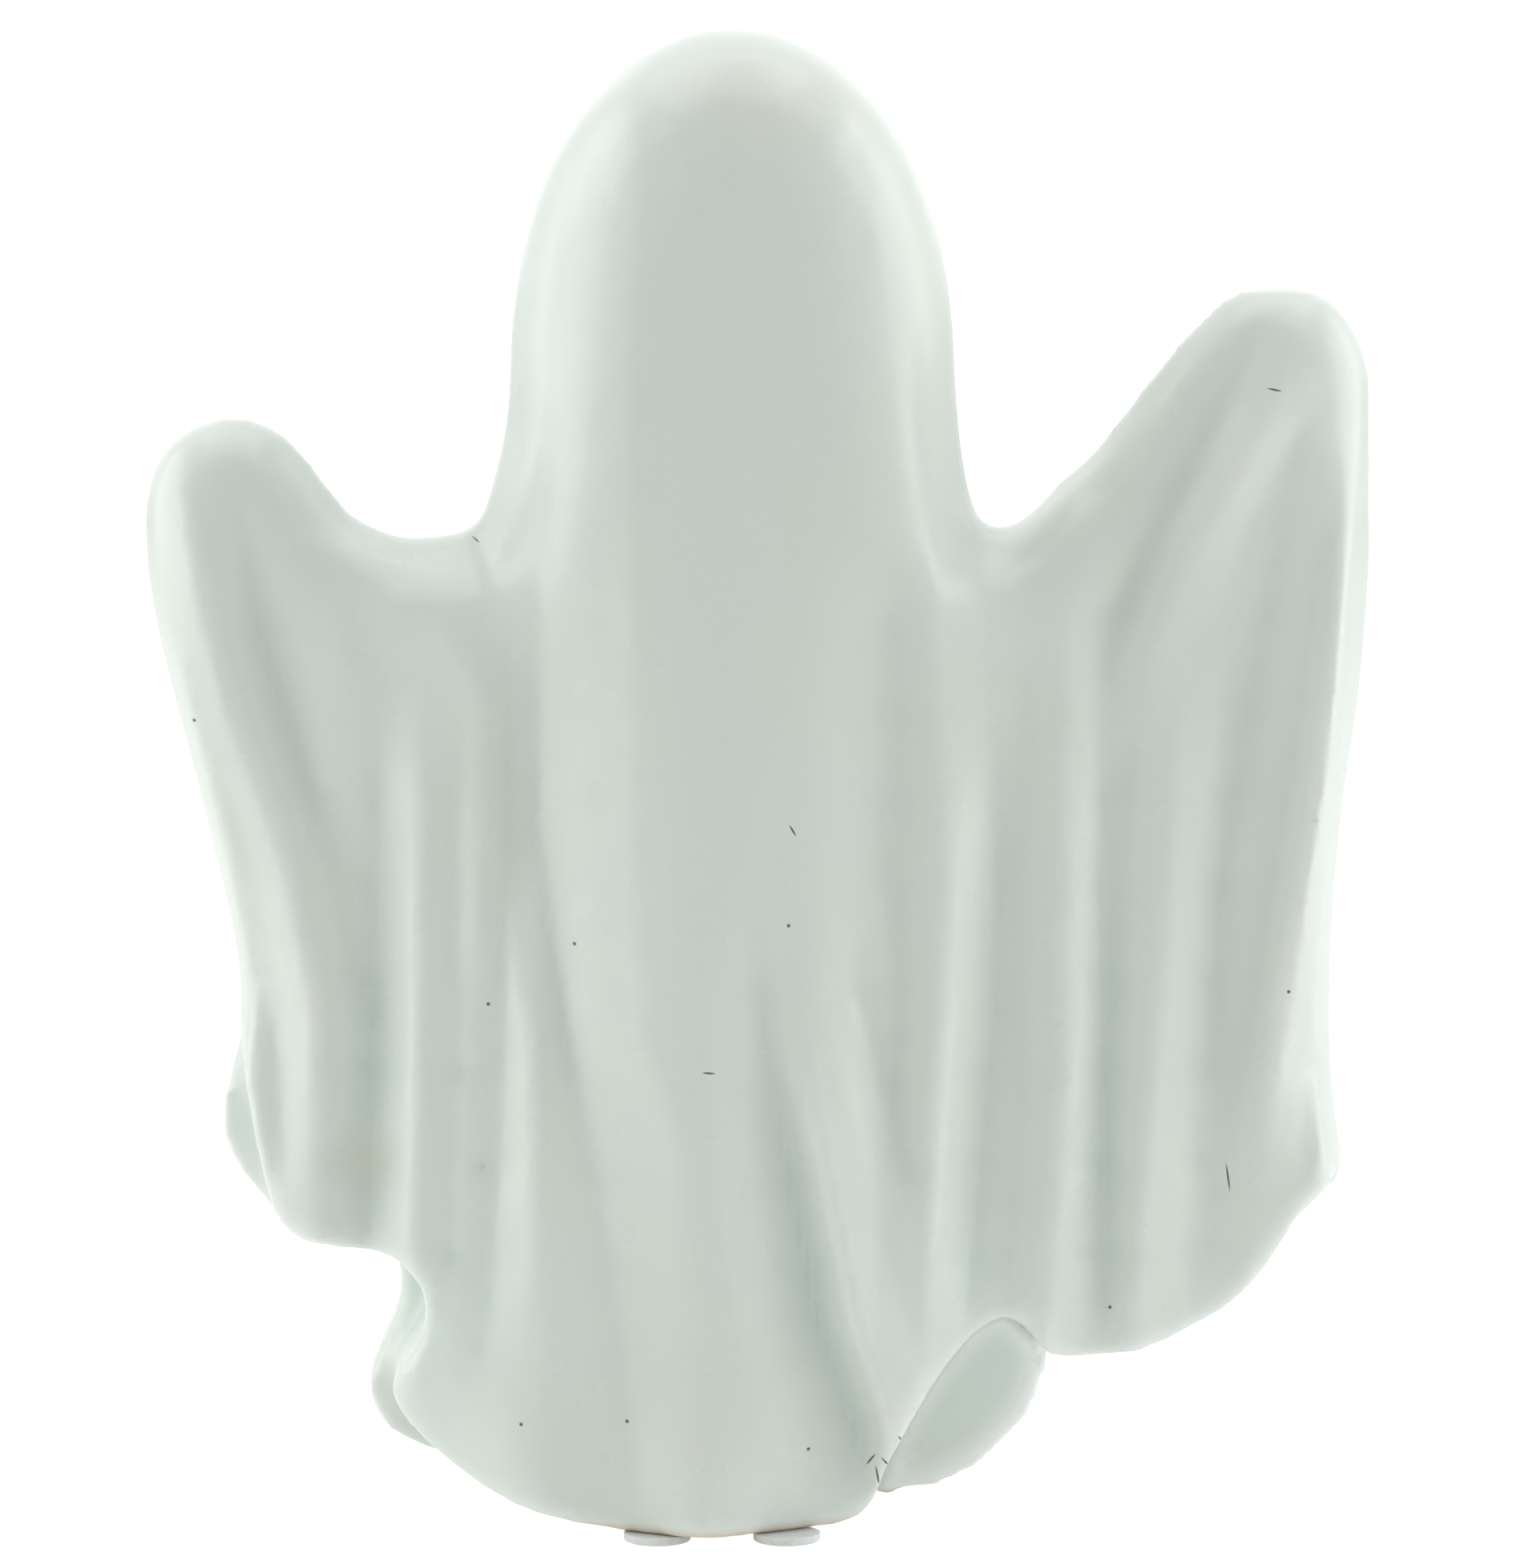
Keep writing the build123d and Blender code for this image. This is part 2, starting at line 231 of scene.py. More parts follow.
def inset_from_edge(filled):
    # The hem is no edge here: each column counts as filled from its top down to the floor.
    hung = np.maximum.accumulate(filled[:, ::-1], axis=1)[:, ::-1]
    inside = blur(hung, OUTLINE_SOFT) > 0.5
    depth = np.zeros(GRID_SHAPE)
    for step in range(INSET_MOST):
        depth += inside
        near = [np.roll(inside, shift, axis) for axis in (0, 1) for shift in (1, -1)]
        slant = [np.roll(rolled, shift, 1) for rolled in near[:2] for shift in (1, -1)]
        inside = inside & np.all(near + (slant if step % 2 else []), axis=0)
    return blur(depth, INSET_SOFT) * CELL


inset = inset_from_edge(filled)
print("deepest cell lies", round(inset.max(), 1), "mm inside the outline")

# %% Stretch the back to the blurred height
SMOOTH_REACH = 10.0
PLATEAU_INSET = 11.0
LEAST_SHARE = 0.0001
# The rim is rounder on the head than on the arms: heights and radii in mm.
RIM_HEIGHTS = (95.0, 150.0)
RIM_RADII = (9.0, 19.0)
# The stretch sets in between these distances from the outline, and these heights above the table.
RIM_KEPT = (0.5, 8.0)
FOOT_KEPT = (4.0, 24.0)
STRETCH = (0.6, 1.5)


def rim(inset, z):
    share = np.clip(inset / np.interp(z, RIM_HEIGHTS, RIM_RADII), 0.0, 1.0)
    return np.sqrt(1 - (1 - share) ** 2)


flat = filled * (inset > PLATEAU_INSET)
plateau = blur(height * flat, SMOOTH_REACH) / np.maximum(blur(flat, SMOOTH_REACH), LEAST_SHARE)
places = clay[:, (0, 2)]
depth = sample(inset, places)
level = sample(plateau, places) * rim(depth, places[:, 1])
ratio = np.clip(level / np.maximum(sample(height, places), OUTSIDE_Y), *STRETCH)
back_half = soft_step(clay[:, 1], 0.0, OUTSIDE_Y)
above_foot = soft_step(clay[:, 2], *FOOT_KEPT)
clay[:, 1] *= 1 + back_half * above_foot * soft_step(depth, *RIM_KEPT) * (ratio - 1)
move_points(ghost, clay * MM)
print("stretched the back by", round(ratio.min(), 2), "to", round(ratio.max(), 2))

# %% [markdown]
# ## The saddles
#
# Between head and arm the cloth spans the corner in a soft curve instead of following it down. The
# clay could be built up there with a second piece, but lifting the points that are there keeps
# one skin. A second remesh evens out the squares that the stretch and the lift have pulled long.

# %% Fill the saddles and remesh once more
# Rows of (x, rise) in mm, from the right arm to the left one.
SADDLE_RISE = (
    (-42, 0),
    (-37, 2.4),
    (-33, 1.4),
    (-29, 1.0),
    (-26, 3.0),
    (-22, 0),
    (28, 0),
    (33, 4.0),
    (36.5, 2.4),
    (42.5, 0),
)
# The lift grows between the first two heights and fades between the last two.
SADDLE_SPAN = (104.0, 117.0, 120.0, 132.0)
SKIN_ROUNDS = 5

clay = points_of(ghost) / MM
saddle_x, saddle_rise = np.array(SADDLE_RISE).T
low_start, low_end, high_start, high_end = SADDLE_SPAN
from_below = soft_step(clay[:, 2], low_start, low_end)
from_above = soft_step(-clay[:, 2], -high_end, -high_start)
clay[:, 2] += np.interp(clay[:, 0], saddle_x, saddle_rise) * (from_below * from_above)
move_points(ghost, clay * MM)
select_only(ghost)
bpy.ops.object.voxel_remesh()
apply_modifier(ghost, "SMOOTH", factor=0.5, iterations=SKIN_ROUNDS)
print("clay skin after the second remesh:", len(ghost.data.vertices), "points")

# %% [markdown]
# ## Melting the joins
#
# A potter wipes a join with a wet sponge. Here a vertex group marks the clay along each join, most
# strongly on the line itself, and a Smooth modifier works only where the group says so.

# %% Melt the lines where arms, neck and shoulder meet the body
# Each line is (x, height) in mm at its top and at its lower end.
MELT_LINES = {
    "left_arm_joins_body": ((33.0, 120.0), (36.0, 70.0)),
    "right_arm_joins_body": ((-27.4, 120.0), (-29.0, 70.0)),
    "left_of_neck": ((25.0, 146.0), (28.0, 122.0)),
    "right_of_neck": ((-20.0, 146.0), (-24.0, 122.0)),
    "left_shoulder": ((43.0, 108.0), (43.0, 98.0)),
}
MELT_REACH = 9.0
MELT_FADE = 12.0
MELT_ROUNDS = 60
MELT_LEAST = 0.02


def melt_along(piece, lines):
    clay = points_of(piece) / MM
    x, z = clay[:, 0], clay[:, 2]
    weights = np.zeros(len(clay))
    for (top_x, top), (low_x, low) in lines.values():
        line_x = np.interp(z, (low, top), (low_x, top_x))
        near = np.exp(-(((x - line_x) / MELT_REACH) ** 2))
        span = soft_step(z, low - MELT_FADE, low) * soft_step(-z, -top - MELT_FADE, -top)
        weights = np.maximum(weights, near * span)
    group = piece.vertex_groups.new(name="melt")
    for index in np.nonzero(weights > MELT_LEAST)[0]:
        group.add([int(index)], float(weights[index]), "REPLACE")
    apply_modifier(piece, "SMOOTH", factor=0.5, iterations=MELT_ROUNDS, vertex_group="melt")
    return int((weights > MELT_LEAST).sum())


print("melted", melt_along(ghost, MELT_LINES), "points along", sorted(MELT_LINES))

# %% [markdown]
# ## The folds
#
# Each fold is one stroke of the thumb down the sheet, read off the photo. A row of a stroke is
# (height, x, rise, reach left, reach right) in mm: at that height the clay rises at x, or sinks
# where the rise is negative, and runs out straight to nothing at its reach on either side. Straight
# slopes meet in the crisp edges that the cloth has, and the last smoothing rounds them a little.

# %% Folds of the left arm and of the slope beside the middle panel
LEFT_FOLDS = {
    "panel_left_slope": (
        (174, 19, 0, 40, 4),
        (162, 22, -1.1, 40, 8),
        (142, 24, -2.2, 40, 9),
        (120, 26, -3.2, 20, 11),
        (100, 26.5, -3.5, 6, 11.5),
        (84, 26.5, -3.8, 5, 11.5),
        (60, 23, -3.5, 4.5, 9.5),
        (47, 20, -2.8, 7, 11),
        (26, 16.7, -2.2, 9, 10.5),
        (5, 14.6, -2.0, 11, 8.6),
    ),
    "left_crease": (
        (110, 30, 0, 4, 4),
        (95, 30, -1.0, 4, 4),
        (57, 30.5, -1.8, 4, 4),
        (32, 32, -1.6, 4, 5),
        (18, 33, 0, 4, 4),
    ),
    "left_small_ridge": (
        (93, 33.4, 0, 3, 3),
        (84, 33.4, 1.0, 3, 3),
        (72, 33.4, 1.0, 3, 3),
        (62, 33.4, 0, 3, 3),
    ),
    "left_ridge": (
        (102, 40.6, 0, 6, 6),
        (88, 40.8, 2.0, 5, 5),
        (50, 41, 2.4, 5, 5),
        (34, 41.7, 2.0, 5, 5),
        (24, 42, 0, 5, 5),
    ),
    "left_valley": (
        (104, 45, 0, 6, 4),
        (88, 45.6, -1.4, 7, 5),
        (62, 46.3, -2.2, 7, 5),
        (38, 46.8, -1.9, 6, 5),
        (26, 47, -1.2, 6, 5),
    ),
    "left_faint_fold": (
        (114, 51.5, 0, 4, 4),
        (105, 50, 0.8, 4, 4),
        (93, 48, 0, 4, 4),
    ),
    "left_wing_ridge": (
        (128, 70, 0, 5, 6),
        (115, 67.7, 1.6, 3.5, 6),
        (98, 63.6, 2.0, 3.5, 6),
        (80, 57.2, 2.3, 4, 6),
        (62, 53.4, 2.4, 4.5, 6),
        (39, 53.9, 2.0, 5, 5),
        (28, 54, 0.8, 5, 5),
    ),
    "left_wing_edge_valley": (
        (82, 63, 0, 4, 5),
        (75, 62, -1.2, 4, 5),
        (57, 58.7, -1.8, 4, 5),
        (45, 57.5, -1.4, 4, 4),
        (36, 57, 0, 4, 4),
    ),
    "left_arm_groove": (
        (130, 63.5, 0, 6, 6),
        (121, 62, -1.0, 6, 6),
        (106, 59.6, -1.6, 6, 6),
        (88, 53.9, -1.6, 5, 5),
        (76, 50, 0, 5, 5),
    ),
}
print(len(LEFT_FOLDS), "folds on the left")

# %% Folds of the middle
MIDDLE_FOLDS = {
    "panel_right_valley": (
        (120, -14.8, 0, 7, 5),
        (107, -14.9, -0.8, 8, 5),
        (81, -14.9, -1.2, 8, 5),
        (61, -17, -1.2, 6, 4),
        (48, -18, 0, 5, 4),
    ),
    "right_ridge": (
        (140, -19.7, 0, 5, 5),
        (120, -20.8, 0.9, 5, 6),
        (95, -22, 1.6, 5, 6),
        (81, -22.9, 2.0, 6, 5),
        (60, -22.2, 2.2, 5, 5),
        (32, -20.4, 1.8, 6, 5),
        (12, -19.5, 0.6, 6, 6),
    ),
    "right_valley": (
        (100, -29, 0, 5, 5),
        (81, -29, -2.0, 5, 6),
        (62, -28.5, -2.6, 5, 7),
        (40, -26.5, -2.6, 5, 8),
        (22, -25, -0.8, 5, 6),
    ),
    "centre_valley": (
        (80, 1, 0, 6, 6),
        (63, -0.6, -2.0, 7, 5),
        (47, -3.2, -3.4, 8, 5),
        (27, -6.8, -4.2, 9, 5),
        (14, -11.2, -3.4, 10, 5),
        (4, -14, -2.0, 10, 4),
    ),
    "centre_ridge": (
        (66, -4, 0, 3, 5),
        (50, -7, 1.6, 3, 6),
        (27, -12, 2.4, 5, 6),
        (14, -16.5, 1.8, 5, 5),
        (4, -19, 0.6, 5, 4),
    ),
    "centre_second_valley": (
        (76, -11.5, 0, 5, 4),
        (66, -12.4, -1.2, 5, 4),
        (47, -17.5, -1.4, 5, 3),
        (38, -19, 0, 4, 3),
    ),
}
print(len(MIDDLE_FOLDS), "folds in the middle")

# %% Folds of the right arm
RIGHT_FOLDS = {
    "right_wing_inner_ridge": (
        (114, -37, 0, 6, 5),
        (100, -37.4, 1.6, 6, 4),
        (55, -37.6, 2.4, 6, 4),
        (26, -35.4, 2.0, 6, 5),
        (18, -34.5, 0.8, 6, 5),
    ),
    "right_wing_valley": (
        (100, -41.5, 0, 4, 5),
        (88, -41.5, -0.9, 4, 5),
        (39, -42, -1.1, 4, 4),
        (27, -42.3, -0.9, 4, 3),
        (18, -42.5, -0.6, 4, 3),
    ),
    "right_wing_middle_ridge": (
        (106, -51, 0, 6, 5),
        (95, -50.6, 1.6, 6, 6),
        (71, -49.4, 2.4, 6, 6),
        (47, -47.4, 2.6, 5, 6),
        (27, -45.6, 2.0, 4, 7),
        (18, -45, 0.8, 4, 8),
    ),
    "right_arm_groove": (
        (150, -62, 0, 5, 4),
        (142, -59.3, -1.6, 6, 5),
        (125, -50.5, -2.2, 6, 6),
        (109, -43.2, -1.6, 6, 6),
        (98, -41, 0, 5, 5),
    ),
    "right_arm_ridge": (
        (140, -64, 0, 5, 5),
        (133, -61, 1.4, 5, 5),
        (120, -53.7, 1.8, 5, 5),
        (105, -47.2, 1.2, 5, 6),
        (94, -46, 0, 5, 5),
    ),
    "right_outer_valley": (
        (138, -66, 0, 5, 4),
        (128, -64, -1.2, 6, 5),
        (104, -60, -1.4, 6, 5),
        (79, -56, -1.3, 5, 6),
        (40, -55, -0.9, 5, 6),
        (25, -54, 0, 5, 6),
    ),
    "right_edge_crease": (
        (130, -72.5, 0, 3, 3),
        (117, -71, 2.8, 3.5, 2.5),
        (91, -68, 3.6, 4, 3),
        (71, -65, 3.2, 4, 3.5),
        (55, -62.6, 2.4, 4.5, 4),
        (40, -61, 0, 5, 5),
    ),
    "right_edge_valley": (
        (66, -68, 0, 3, 3),
        (56, -67.3, -1.4, 4, 3),
        (46, -66.5, -0.8, 4, 3),
        (38, -66, 0, 3, 3),
    ),
}
print(len(RIGHT_FOLDS), "folds on the right")

# %% Press the folds into the back
# A stroke fades out towards the rim, between these distances from the mould seam.
STROKE_ROOM = (2.0, 10.0)
FOLDS = {**LEFT_FOLDS, **MIDDLE_FOLDS, **RIGHT_FOLDS}


def stroke(clay, rows):
    height, x, rise, left, right = np.array(rows[::-1], dtype=float).T
    z = clay[:, 2]
    aside = clay[:, 0] - np.interp(z, height, x)
    reach = np.where(aside > 0, np.interp(z, height, left), np.interp(z, height, right))
    return np.interp(z, height, rise) * np.clip(1 - np.abs(aside) / reach, 0, 1)


clay = points_of(ghost) / MM
room = soft_step(clay[:, 1], *STROKE_ROOM)
clay[:, 1] += room * sum(stroke(clay, rows) for rows in FOLDS.values())
move_points(ghost, clay * MM)
print("pressed", len(FOLDS), "folds into the back")

# %% [markdown]
# ## The lifted hem
#
# Under the right arm the near half of the hem is lifted, and the far half shows below it as a wall
# in the notch. In the construction that wall stands deep in shade. It could be lit by a lamp of its
# own, but bringing the wall itself out towards the back is right under any light.

# %% Bring the far half of the hem closer
# The notch is (lowest x, highest x, highest z) in mm. The wall lies near the seam and faces back.
NOTCH = (-60.0, -12.0, 30.0)
WALL_Y = 3.0
WALL_NORMAL = 0.6
WALL_FORWARD = 9.0

clay = points_of(ghost) / MM
lowest_x, highest_x, highest_z = NOTCH
in_notch = (clay[:, 0] > lowest_x) & (clay[:, 0] < highest_x) & (clay[:, 2] < highest_z)
faces_back = (normals_of(ghost)[:, 1] > WALL_NORMAL) & (np.abs(clay[:, 1]) < WALL_Y)
far_wall = faces_back & in_notch
clay[far_wall, 1] += WALL_FORWARD
move_points(ghost, clay * MM)
print("moved", int(far_wall.sum()), "points of the far hem")

# %% [markdown]
# ## The last smoothing
#
# Glaze fills fine corners and rounds every edge as it melts. A few rounds of a Smooth modifier do
# the same to the strokes. More rounds would take the crispness out of the folds.

# %% Soften the clay
SOFTEN_ROUNDS = 3

apply_modifier(ghost, "SMOOTH", factor=0.5, iterations=SOFTEN_ROUNDS)
select_only(ghost)
bpy.ops.object.shade_smooth()
ghost_low = points_of(ghost).min(axis=0)
ghost_high = points_of(ghost).max(axis=0)
print("softened clay from", np.round(ghost_low / MM, 1), "to", np.round(ghost_high / MM, 1))

# %% [markdown]
# ## Where the glaze pools, and where shade and highlight are painted
#
# Glaze runs off ridges and lips while it melts and gathers in the hollows, and the white glaze uses
# this to paint shade into the valleys and a highlight onto ridges and lips as well. A copy of the
# clay is smoothed until the folds are gone. How far each point stands out from that copy is kept on
# the points as "relief": positive on ridges and lips, negative in valleys.

# %% Measure the relief of every point
RELIEF_ROUNDS = 40

select_only(ghost)
bpy.ops.object.duplicate()
smooth_copy = bpy.context.active_object
apply_modifier(smooth_copy, "SMOOTH", factor=0.5, iterations=RELIEF_ROUNDS)
apart = points_of(ghost) - points_of(smooth_copy)
stands_out = np.einsum("ij,ij->i", apart, normals_of(smooth_copy)) / MM
bpy.data.objects.remove(smooth_copy)
relief = ghost.data.attributes.new("relief", "FLOAT", "POINT")
relief.data.foreach_set("value", stands_out.astype(np.float32))
print("relief in mm from", round(stands_out.min(), 2), "to", round(stands_out.max(), 2))

# %% [markdown]
# ## Materials
#
# Each finish starts from the real one. Colours are written as sRGB hex, as a colour picker shows
# them, and one function turns them to linear. One small function adds a node with its settings
# and links, so a material reads as a list of its nodes.

# %% Colour and node helpers
# A Mix node has sockets for every kind of value. These are the numbers of its colour sockets.
MIX_A, MIX_B, MIX_RESULT = 6, 7, 2


def linear(hex_code):
    channels = [int(hex_code[i : i + 2], 16) / 255 for i in (1, 3, 5)]
    bent = [c / 12.92 if c <= 0.04045 else ((c + 0.055) / 1.055) ** 2.4 for c in channels]
    return (*bent, 1.0)


def add_node(tree, kind, inputs=None, **settings):
    node = tree.nodes.new(kind)
    for name, value in settings.items():
        setattr(node, name, value)
    for name, value in (inputs or {}).items():
        if isinstance(value, bpy.types.NodeSocket):
            tree.links.new(value, node.inputs[name])
        else:
            node.inputs[name].default_value = value
    return node


def new_material(name):
    material = bpy.data.materials.new(name)
    material.use_nodes = True
    return material, material.node_tree, material.node_tree.nodes["Principled BSDF"]


def give(piece, material):
    piece.data.materials.clear()
    piece.data.materials.append(material)


print("white in linear light:", linear("#FFFFFF"))

# %% [markdown]
# ## Marks in the glaze
#
# Kiln specks and fine scratches sit where the photo shows them on the back. They could be painted
# on an image, but a distance from a point needs no picture: a speck is what lies close to it, and a
# scratch is the same with the space squeezed along one line.

# %% Places of specks, scratches and the stain
# Specks as (x, z) and scratches as (x, z, length, turn in degrees), in mm on the back.
SPECK_WIDTH = 0.55
SPECKS = (
    (67.8, 96.6),
    (-3.7, 74.2),
    (32.3, 63.5),
    (21.9, 71.2),
    (28.3, 14.1),
    (15.6, 14.7),
    (-6.1, 11.0),
    (40.4, 26.0),
    (-63.9, 64.4),
    (-69.6, 62.6),
    (-42.5, 26.2),
)
SCRATCH_WIDTH = 0.28
SCRATCHES = (
    (-4.2, 85.5, 1.8, 60),
    (5.8, 56.8, 1.8, 5),
    (34.0, 118.0, 1.4, 30),
    (-56.8, 41.5, 4.0, 82),
    (-14.4, 7.4, 3.0, 80),
    (-13.6, 9.4, 2.2, 125),
    (-15.4, 9.2, 2.0, 50),
    (-17.1, 12.4, 1.2, 70),
    (-61.9, 136.7, 2.0, 10),
)
STAIN = (47.3, 44.0)
STAIN_WIDTH = 11.0
print(len(SPECKS), "specks and", len(SCRATCHES), "scratches")


# %% Draw one speck, one scratch and all of them together
def spot(tree, flat_place, x, z, width, soft):
    centre = (x * MM, 0.0, z * MM)
    away = add_node(tree, "ShaderNodeVectorMath", {0: flat_place, 1: centre}, operation="DISTANCE")
    edge = width / 2 * MM
    fade = {"Value": away.outputs["Value"], "From Min": edge, "From Max": edge * (1 - soft)}
    return add_node(tree, "ShaderNodeMapRange", fade).outputs["Result"]


def scratch(tree, flat_place, x, z, length, turn):
    squeeze = {
        "Vector": flat_place,
        "Location": (x * MM, 0.0, z * MM),
        "Rotation": (0.0, math.radians(-turn), 0.0),
        "Scale": (length * MM, 1.0, SCRATCH_WIDTH * MM),
    }
    squeezed = add_node(tree, "ShaderNodeMapping", squeeze, vector_type="TEXTURE").outputs["Vector"]
    across = add_node(tree, "ShaderNodeVectorMath", {0: squeezed}, operation="LENGTH")
    fade = {"Value": across.outputs["Value"], "From Min": 0.5, "From Max": 0.3}
    return add_node(tree, "ShaderNodeMapRange", fade).outputs["Result"]


def all_marks(tree, flat_place):
    marks = [spot(tree, flat_place, x, z, SPECK_WIDTH, 0.5) for x, z in SPECKS]
    marks += [scratch(tree, flat_place, *row) for row in SCRATCHES]
    most = marks[0]
    for mark in marks[1:]:
        both = {0: most, 1: mark}
        most = add_node(tree, "ShaderNodeMath", both, operation="MAXIMUM").outputs["Value"]
    return most


print("stain of", STAIN_WIDTH, "mm at", STAIN)

# %% [markdown]
# ## White glaze
#
# The figure was dipped in one white glaze and fired. The white is cool and faintly green. A plain
# white would look like plaster, so the colour follows the relief: painted shade darkens and greens
# the valleys and a painted highlight whitens ridges and lips, on top of the real pooling and
# thinning of the glaze. The gloss and the surface vary slowly, as a melt that has flowed does.

# %% White glaze
GLAZE_WHITE = "#E3EDE7"
GLAZE_WARM = "#E5ECE2"
# Painted shade for the valleys, partly the real colour of pooled glaze.
GLAZE_POOLED_SHADE = "#CBD9D1"
# Painted highlight for ridges and lips, partly the real colour of thin glaze.
GLAZE_THIN_HIGHLIGHT = "#FAFDFB"
STAIN_YELLOW = "#DADFD1"
MARK_DARK = "#5C5D57"
BARE_CLAY = "#E4DACB"
GLAZE_IOR = 1.5
# Sizes in mm: drifts of tint, waves of the melt, and the orange peel of the surface.
TINT_SIZE = 30.0
WAVE_SIZE = 9.0
WAVE_DEPTH = 0.3
PEEL_SIZE = 1.4
PEEL_DEPTH = 0.05
# Heights above the table between which the bare foot gives way to glaze, and how much duller it is.
FOOT_EDGE = (1.4, 2.4)
BARE_DULLER = 0.5


def white_glaze():
    # Dipped and fired white glaze: a cool, faintly green white with a soft satin gloss. Ridges and
    # lips are whiter, as thin glaze and as a painted highlight; valleys are darker and greener, as
    # pooled glaze and as painted shade. It has kiln specks, fine scratches, one yellowish stain, a
    # slightly uneven surface, and bare clay under the foot.
    material, tree, shader = new_material("white_dipped_glaze")
    place = add_node(tree, "ShaderNodeTexCoord").outputs["Object"]
    height = add_node(tree, "ShaderNodeSeparateXYZ", {"Vector": place}).outputs["Z"]
    flatten = {0: place, 1: (1.0, 0.0, 1.0)}
    flat_place = add_node(tree, "ShaderNodeVectorMath", flatten, operation="MULTIPLY").outputs[0]
    normal = add_node(tree, "ShaderNodeNewGeometry").outputs["Normal"]
    turned_back = add_node(tree, "ShaderNodeSeparateXYZ", {"Vector": normal}).outputs["Y"]
    lean = {"Value": turned_back, "From Min": 0.3, "From Max": 0.5}
    on_back = add_node(tree, "ShaderNodeMapRange", lean).outputs["Result"]
    stands_out = add_node(tree, "ShaderNodeAttribute", attribute_name="relief").outputs["Fac"]
    tint_scale = {"Vector": place, "Scale": 1 / (TINT_SIZE * MM)}
    tint = add_node(tree, "ShaderNodeTexNoise", tint_scale).outputs["Fac"]
    wave_scale = {"Vector": place, "Scale": 1 / (WAVE_SIZE * MM)}
    wave = add_node(tree, "ShaderNodeTexNoise", wave_scale).outputs["Fac"]
    peel_scale = {"Vector": place, "Scale": 1 / (PEEL_SIZE * MM)}
    peel = add_node(tree, "ShaderNodeTexNoise", peel_scale).outputs["Fac"]

    # How much of each colour lies over the ones before it
    covers = []
    for hex_code, value, start, end in (
        (GLAZE_WARM, tint, 0.3, 0.7),
        # Painted shade: valleys darker and greener, partly real pooled glaze.
        (GLAZE_POOLED_SHADE, stands_out, 0.0, -1.4),
        # Painted highlight: ridges and lips whiter, partly real thin glaze.
        (GLAZE_THIN_HIGHLIGHT, stands_out, 0.3, 1.5),
    ):
        span = {"Value": value, "From Min": start, "From Max": end}
        covers.append((hex_code, add_node(tree, "ShaderNodeMapRange", span).outputs["Result"]))
    for hex_code, mark in (
        (STAIN_YELLOW, spot(tree, flat_place, *STAIN, STAIN_WIDTH, 1.0)),
        (MARK_DARK, all_marks(tree, flat_place)),
    ):
        both = {0: mark, 1: on_back}
        shown = add_node(tree, "ShaderNodeMath", both, operation="MULTIPLY").outputs["Value"]
        covers.append((hex_code, shown))
    foot = {"Value": height, "From Min": FOOT_EDGE[1] * MM, "From Max": FOOT_EDGE[0] * MM}
    bare = add_node(tree, "ShaderNodeMapRange", foot).outputs["Result"]
    covers.append((BARE_CLAY, bare))

    colour = linear(GLAZE_WHITE)
    for hex_code, share in covers:
        over = {0: share, MIX_A: colour, MIX_B: linear(hex_code)}
        colour = add_node(tree, "ShaderNodeMix", over, data_type="RGBA").outputs[MIX_RESULT]
    tree.links.new(colour, shader.inputs["Base Color"])

    satin = {"Value": wave, "From Min": 0.3, "From Max": 0.7, "To Min": 0.24, "To Max": 0.34}
    gloss = add_node(tree, "ShaderNodeMapRange", satin).outputs["Result"]
    duller = {0: bare, 1: BARE_DULLER, 2: gloss}
    rough = add_node(tree, "ShaderNodeMath", duller, operation="MULTIPLY_ADD").outputs["Value"]
    tree.links.new(rough, shader.inputs["Roughness"])
    shader.inputs["IOR"].default_value = GLAZE_IOR

    waves = {"Height": wave, "Strength": 0.25, "Distance": WAVE_DEPTH * MM}
    waved = add_node(tree, "ShaderNodeBump", waves).outputs["Normal"]
    peels = {"Height": peel, "Strength": 0.2, "Distance": PEEL_DEPTH * MM, "Normal": waved}
    peeled = add_node(tree, "ShaderNodeBump", peels).outputs["Normal"]
    tree.links.new(peeled, shader.inputs["Normal"])
    return material


give(ghost, white_glaze())
print("white glaze on", ghost.name)

# %% [markdown]
# ## Black glaze and silicone
#
# Eyes and mouth are pools of black glaze, and the foot stands on four moulded silicone dots. Both
# are small and smooth, so the construction's own meshes are kept and only get their finish. In each
# finish one noise drives both colour and gloss: glaze is thicker in places, and dust settles in
# patches.

# %% Black glaze in the face
BLACK = "#0A0A0B"
BLACK_THIN = "#1B1917"
POOL_SIZE = 2.5


